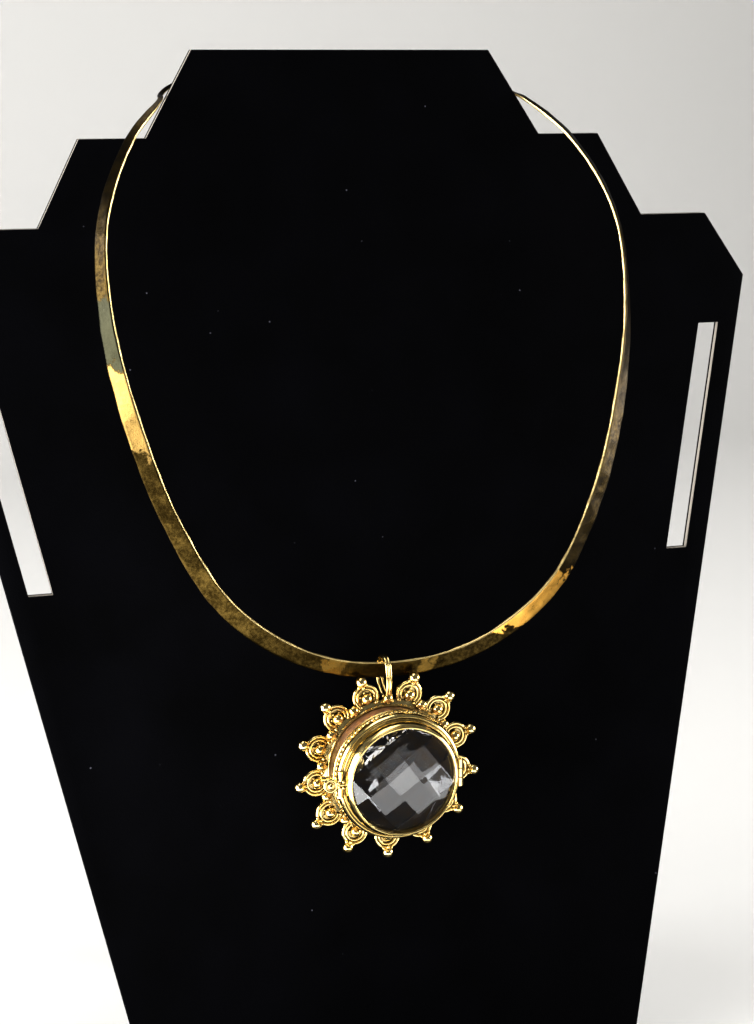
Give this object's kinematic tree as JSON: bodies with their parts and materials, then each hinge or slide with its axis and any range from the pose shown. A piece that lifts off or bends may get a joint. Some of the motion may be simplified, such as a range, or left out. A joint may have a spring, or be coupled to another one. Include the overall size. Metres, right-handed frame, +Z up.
{
  "type": "locket necklace on neck bust display",
  "caption": "Rigid hammered collar with a hinged sun locket set with a checkerboard-cut crystal lid, standing on a velvet neck bust display board.",
  "frame": {"origin": "middle of the whole part's footprint, on the surface that it stands on", "axes": "+Z up, the front and the locket face -Y, +X to the right seen from the front"},
  "size_m": [0.2136, 0.113, 0.2595],
  "materials": {
    "velvet": "black velvet flocked over card",
    "hammered_gold": "hammered gilt, darkened in the hollows",
    "bright_gold": "polished gilt",
    "rock_crystal": "clear checkerboard-cut quartz"
  },
  "bodies": {
    "root": {"display_board": "velvet", "display_strut": "velvet", "neck_collar": "hammered_gold", "collar_clasp": "hammered_gold"},
    "locket": {"locket_case": "bright_gold", "hinge_pin": "bright_gold"},
    "lid": {"locket_lid": "bright_gold", "rock_crystal": "rock_crystal"}
  },
  "joints": [
    {"name": "locket_swing", "type": "hinge", "parent": "root", "child": "locket", "pos_m": [-0.0026, -0.03917, 0.11373], "axis": [-1, 0, 0], "range_deg": [0, 30]},
    {"name": "lid_hinge", "type": "hinge", "parent": "locket", "child": "lid", "pos_m": [0.0125, -0.05213, 0.0877], "axis": [0, 0, 1], "range_deg": [0, 150]}
  ]
}
